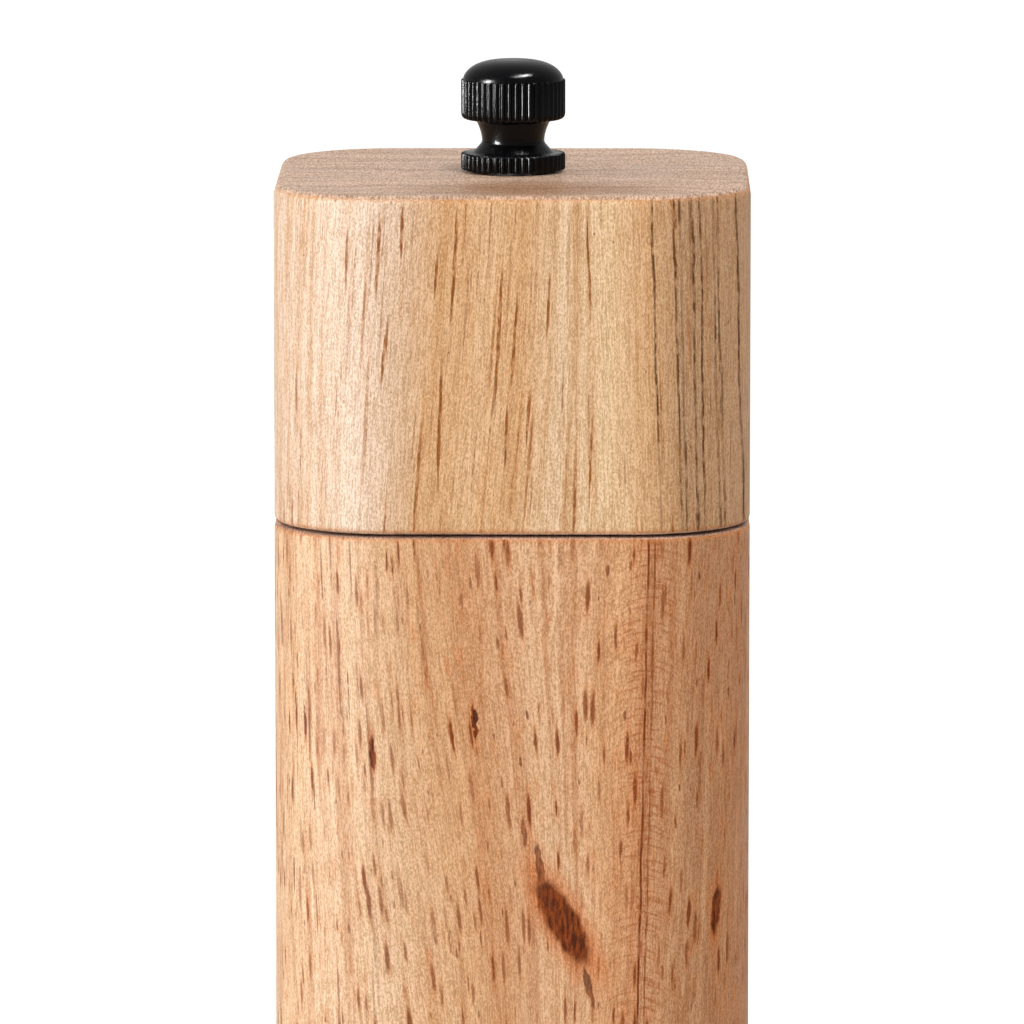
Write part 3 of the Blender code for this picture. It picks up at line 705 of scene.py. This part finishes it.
def knots(g, base, x, y, z):
    """The dark slanting bark mark on the front, the smaller ones by it, and their stain."""
    front = -HALF / MM
    rough_x = g.add(x, g.swing(g.stretch(g.place, 0.9, 0.9, 1.4), 0.35, 3.0))
    marks = [((6.3, front, 112.0), (2.5, 3.0, 7.8), 29.0, 1.0),
             ((3.4, front, 119.0), (0.6, 2.0, 3.6), 8.0, 0.8),
             ((1.6, front, 123.0), (0.45, 2.0, 2.4), 4.0, 0.7),
             ((9.4, front, 104.0), (0.5, 2.0, 3.6), 14.0, 0.8),
             ((24.8, -24.3, 112.5), (0.8, 2.0, 4.2), -6.0, 1.0),
             ((-16.8, front, 132.5), (0.45, 2.0, 2.8), 4.0, 1.0),
             ((-4.4, front, 136.5), (0.4, 2.0, 3.0), 6.0, 1.0)]
    core = []
    stain = []
    for at, size, lean, strength in marks:
        mask = lens(g, rough_x, y, z, at, size, lean)
        core.append(g.times(g.remap(mask, 0.1, 0.4), strength))
        wider = tuple(1.9 * side for side in size)
        spread = min(1.0, 0.4 + 0.4 * size[0]) * strength
        stain.append(g.times(g.remap(lens(g, rough_x, y, z, at, wider, lean), 0.15, 0.8), spread))
    core = most(g, core)
    base = g.mix(g.times(most(g, stain), 0.85), base, srgb(194, 102, 42))
    grit = g.remap(g.noise(g.stretch(g.place, 0.35, 0.35, 1.6, 6.0), 3.0), 0.35, 0.65)
    ink = g.mix(grit, srgb(58, 18, 4), srgb(134, 60, 20))
    return g.mix(g.times(core, 0.92), base, ink), core


def wavered(g, place):
    """Coordinates bent gently, so that growth lines on end grain waver."""
    x, y, z = g.split(place)
    return g.join(x, g.add(y, g.swing(g.stretch(place, 14.0, 14.0, 14.0), 3.0)), z)


def lacquer(g, grain, base, dark, end_tone):
    """What both blocks share: fibres, end grain, and a thin satin lacquer."""
    fibre = fibres(g, grain)
    end = end_grain(g)
    _, _, z = g.split(g.place)
    flat = g.join(*g.split(g.place)[:2], g.times(z, 0.1))
    rings = g.noise(g.stretch(wavered(g, flat), 30.0, 1.2, 30.0), 3.0)
    pores = g.noise(g.stretch(flat, 0.2, 0.9, 0.3), 3.0, 0.6)
    tone = g.mix(g.remap(rings, 0.4, 0.65), end_tone, (0.76, 0.74, 0.72), "MULTIPLY")
    tone = g.mix(g.remap(pores, 0.4, 0.62), tone, (0.5, 0.46, 0.43), "MULTIPLY")
    base = g.mix(g.times(end, 0.97), base, tone)
    dark = g.times(dark, g.remap(end, 0.0, 1.0, 1.0, 0.1))
    shade = g.remap(fibre, -1.0, 1.0, 0.72, 1.28, "LINEAR")
    warm = g.join(g.maths("POWER", shade, 0.7), g.times(shade, 1.02),
                  g.times(g.maths("POWER", shade, 1.4), 1.06))
    base = g.mix(1.0, base, warm, "MULTIPLY")
    patches = g.noise(g.stretch(g.place, 9.0, 9.0, 14.0, 2.0), 3.0)
    rough = g.add(g.remap(patches, 0.3, 0.7, 0.28, 0.38), g.times(dark, 0.15))
    height = g.add(g.times(fibre, 0.009), g.times(dark, -0.05))
    return g.finish(base, rough, height)


def moulded(name, base, dust, size, rough, shine=0.5):
    """Satin moulded plastic: fine spark texture, faint flow marks and a little dust."""
    g = Graph(name, Specular_IOR_Level=shine)
    spark = g.noise(g.stretch(g.place, size, size, size), 3.0, 0.6)
    flow = g.noise(g.stretch(g.place, 3.0, 3.0, 6.0, 4.0), 2.0)
    tone = g.mix(g.remap(flow, 0.35, 0.7), base, tuple(1.35 * v for v in base))
    tone = g.mix(g.remap(spark, 0.62, 0.78, 0.0, 0.5), tone, dust)
    roughness = g.remap(flow, 0.3, 0.7, rough - 0.06, rough + 0.06)
    return g.finish(tone, roughness, g.times(spark, 0.012))


def metal(name, light, dark, scratch, rough):
    """Worked metal: scratches along one way, stains and wear."""
    g = Graph(name, Metallic=1.0)
    lines = g.noise(g.stretch(g.place, *scratch), 3.0, 0.6)
    stain = g.noise(g.stretch(g.place, 2.5, 2.5, 3.5, 5.0), 3.0, 0.6)
    tone = g.mix(g.remap(stain, 0.35, 0.7), light, dark)
    tone = g.mix(g.remap(lines, 0.55, 0.75, 0.0, 0.3), tone, dark)
    roughness = g.add(g.remap(lines, 0.3, 0.7, rough - 0.07, rough + 0.07),
                      g.remap(stain, 0.5, 0.8, 0.0, 0.1))
    return g.finish(tone, roughness, g.times(lines, 0.008))


def glazed(name, light, dark, speck, rough):
    """Fired ceramic or milky nylon: a fine even grain with a few darker specks."""
    g = Graph(name, Specular_IOR_Level=0.5)
    grain = g.noise(g.stretch(g.place, 0.15, 0.15, 0.15), 3.0, 0.6)
    cloud = g.noise(g.stretch(g.place, 3.0, 3.0, 3.0, 2.0), 2.0)
    tone = g.mix(g.remap(cloud, 0.35, 0.7), light, dark)
    tone = g.mix(g.remap(grain, 0.66, 0.8, 0.0, 0.6), tone, speck)
    return g.finish(tone, g.remap(cloud, 0.3, 0.7, rough - 0.05, rough + 0.05),
                    g.times(grain, 0.01))


# ---------------------------------------------------------------- the mill

LOOKS = {
    "body_wood": body_wood(),
    "head_wood": head_wood(),
    "knob_plastic": moulded("knob_plastic_satin", (0.002, 0.002, 0.0025), (0.01, 0.01, 0.012),
                            0.12, 0.14, 0.15),
    "housing_plastic": moulded("housing_plastic_moulded", (0.02, 0.02, 0.022), (0.06, 0.06, 0.06),
                               0.2, 0.5),
    "brass": metal("brass_turned", (0.74, 0.53, 0.22), (0.5, 0.33, 0.13), (2.0, 2.0, 0.1), 0.3),
    "aluminium": metal("aluminium_drawn", (0.8, 0.8, 0.82), (0.62, 0.62, 0.64),
                       (0.12, 0.12, 20.0), 0.36),
    "plate_steel": metal("plate_steel_zinc", (0.66, 0.66, 0.68), (0.45, 0.45, 0.46),
                         (0.2, 6.0, 6.0), 0.34),
    "screw_steel": metal("screw_steel_plated", (0.68, 0.66, 0.6), (0.42, 0.4, 0.36),
                         (0.3, 0.3, 0.3), 0.3),
    "washer_steel": metal("washer_steel_tumbled", (0.7, 0.7, 0.7), (0.45, 0.45, 0.46),
                          (0.3, 0.3, 0.3), 0.32),
    "spring_steel": metal("spring_steel_drawn", (0.55, 0.55, 0.56), (0.32, 0.31, 0.3),
                          (0.4, 0.4, 0.15), 0.3),
    "nylon": glazed("nylon_milky", (0.78, 0.76, 0.69), (0.7, 0.68, 0.6), (0.6, 0.57, 0.5), 0.42),
    "ceramic": glazed("ceramic_fired", (0.82, 0.8, 0.75), (0.74, 0.72, 0.67), (0.45, 0.42, 0.38),
                      0.4),
}


def piece(obj, body, slot, *nodes):
    """Finish a new piece: give it its slot's material, put it on its body, and hide the CAD nodes it
    stands for.
    """
    obj.data.materials.append(LOOKS[slot])
    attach(obj, body)
    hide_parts(*nodes)
    return obj


piece(body_shell(), "mill_body", "body_wood", "body_block")
piece(head_shell(), "head", "head_wood", "head_block")
piece(knob_shell(), "knob", "knob_plastic", "knob")
piece(spindle_bar(), "grinding_shaft", "aluminium", "spindle")
piece(rotor_cone(), "grinding_shaft", "ceramic", "rotor_burr")
piece(stator_ring(), "mill_body", "ceramic", "stator_burr")

spring = spring_coil()
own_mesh(spring)
piece(spring, "bush", "spring_steel", "adjusting_spring")

KEPT = {
    "grinder_housing": "housing_plastic",
    "stator_retainer": "housing_plastic",
    "rotor_core": "housing_plastic",
    "knob_insert": "brass",
    "drive_plate": "plate_steel",
    "drive_plate_screw_1": "screw_steel",
    "drive_plate_screw_2": "screw_steel",
    "housing_screw_1": "screw_steel",
    "housing_screw_2": "screw_steel",
    "housing_screw_3": "screw_steel",
    "rotor_screw": "screw_steel",
    "rotor_washer": "washer_steel",
    "spring_washer": "washer_steel",
    "thrust_washer": "washer_steel",
    "spindle_bush": "nylon",
}

for node, slot in KEPT.items():
    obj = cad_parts[node]
    for place in obj.material_slots:
        place.material = LOOKS[slot]
    weld = obj.modifiers.new("weld", "WELD")
    weld.merge_threshold = 0.002 * MM
    bevel = obj.modifiers.new("eased", "BEVEL")
    bevel.width = 0.12 * MM
    bevel.segments = 2
    bevel.limit_method = "ANGLE"
    bevel.angle_limit = math.radians(40.0)
    bevel.use_clamp_overlap = True


# ---------------------------------------------------------------- floor, lights and camera

def stage_material():
    """A plain pale floor, which looks white but throws only a little light up at the mill."""
    g = Graph("floor_pale", Specular_IOR_Level=0.2)
    g.shader.inputs["Emission Color"].default_value = (1.0, 1.0, 1.0, 1.0)
    seen = g.node("ShaderNodeLightPath").outputs["Is Camera Ray"]
    g.feed(g.shader.inputs["Emission Strength"], g.times(seen, 0.62))
    mottle = g.noise(g.stretch(g.place, 300.0, 300.0, 300.0), 2.0)
    tone = g.mix(mottle, (0.58, 0.58, 0.58), (0.62, 0.62, 0.62))
    return g.finish(tone, 0.8, 0.0)


def make_floor():
    """A wide plain floor under the mill."""
    bm = bmesh.new()
    bmesh.ops.create_grid(bm, x_segments=8, y_segments=8, size=6.0)
    bmesh.ops.translate(bm, vec=(0.0, 0.0, -0.2 * MM), verts=bm.verts)
    obj = from_bmesh("floor", bm)
    obj.data.materials.append(stage_material())


def softbox(name, azimuth, elevation, distance, width, height, power, glint=False):
    """A rectangular light that faces the mill's upper half. Azimuth 0 is the camera's side.

    A glint is seen only in reflections, and lights nothing.
    """
    data = bpy.data.lights.new(name, "AREA")
    data.shape = "RECTANGLE"
    data.size = width
    data.size_y = height
    data.energy = power
    obj = bpy.data.objects.new(name, data)
    a, e = math.radians(azimuth), math.radians(elevation)
    aim = Vector((0.0, 0.0, 0.14))      # two thirds of the way up the mill
    back = Vector((math.sin(a) * math.cos(e), -math.cos(a) * math.cos(e), math.sin(e)))
    obj.location = aim + back * distance
    obj.rotation_mode = "QUATERNION"
    obj.rotation_quaternion = back.to_track_quat("Z", "Y")
    obj.visible_diffuse = not glint
    bpy.context.scene.collection.objects.link(obj)


def make_world(front, back, reflected):
    """White to the camera. As a source of light it is brighter behind, and dimmer in reflections."""
    world = bpy.data.worlds.new("studio")
    world.use_nodes = True
    bpy.context.scene.world = world
    tree = world.node_tree
    shader = tree.nodes["Background"]
    shader.inputs["Color"].default_value = (1.0, 1.0, 1.0, 1.0)
    path = tree.nodes.new("ShaderNodeLightPath")
    where = tree.nodes.new("ShaderNodeTexCoord")
    split = tree.nodes.new("ShaderNodeSeparateXYZ")
    tree.links.new(where.outputs["Generated"], split.inputs[0])
    light = tree.nodes.new("ShaderNodeMapRange")
    light.interpolation_type = "SMOOTHSTEP"
    for socket, value in zip(light.inputs[1:5], (-0.5, 0.7, front, back)):
        socket.default_value = value
    tree.links.new(split.outputs["Y"], light.inputs["Value"])
    shine = tree.nodes.new("ShaderNodeMapRange")
    shine.inputs["To Min"].default_value = 1.0
    shine.inputs["To Max"].default_value = reflected
    tree.links.new(path.outputs["Is Glossy Ray"], shine.inputs["Value"])
    dimmed = tree.nodes.new("ShaderNodeMath")
    dimmed.operation = "MULTIPLY"
    tree.links.new(light.outputs["Result"], dimmed.inputs[0])
    tree.links.new(shine.outputs["Result"], dimmed.inputs[1])
    strength = tree.nodes.new("ShaderNodeMapRange")
    tree.links.new(dimmed.outputs[0], strength.inputs["To Min"])
    strength.inputs["To Max"].default_value = 1.0
    tree.links.new(path.outputs["Is Camera Ray"], strength.inputs["Value"])
    tree.links.new(strength.outputs["Result"], shader.inputs["Strength"])


def make_camera():
    """A long lens a little above the mill and right of it, tilted down at its upper half."""
    data = bpy.data.cameras.new("camera")
    data.sensor_width = 36.0
    data.lens = 345.2
    away = 1.2
    height = 0.3274
    turn = math.radians(0.5)
    tilt = math.radians(8.033)
    aside = -0.15 * MM
    obj = bpy.data.objects.new("camera", data)
    obj.location = (away * math.sin(turn) + aside, -away * math.cos(turn), height)
    obj.rotation_euler = (math.radians(90.0) - tilt, 0.0, turn)
    bpy.context.scene.collection.objects.link(obj)
    bpy.context.scene.camera = obj


make_floor()
make_world(0.6, 0.9, 0.5)
softbox("key", -60.0, 10.0, 1.2, 0.16, 0.9, 9.0)
softbox("top", 28.0, 68.0, 1.2, 0.4, 0.14, 6.0)
softbox("key_glint", -62.0, 10.0, 1.2, 0.1, 0.9, 85.0, glint=True)
softbox("top_glint", 58.0, 70.0, 1.2, 0.3, 0.1, 16.0, glint=True)
make_camera()
bpy.context.scene.view_settings.view_transform = "Standard"
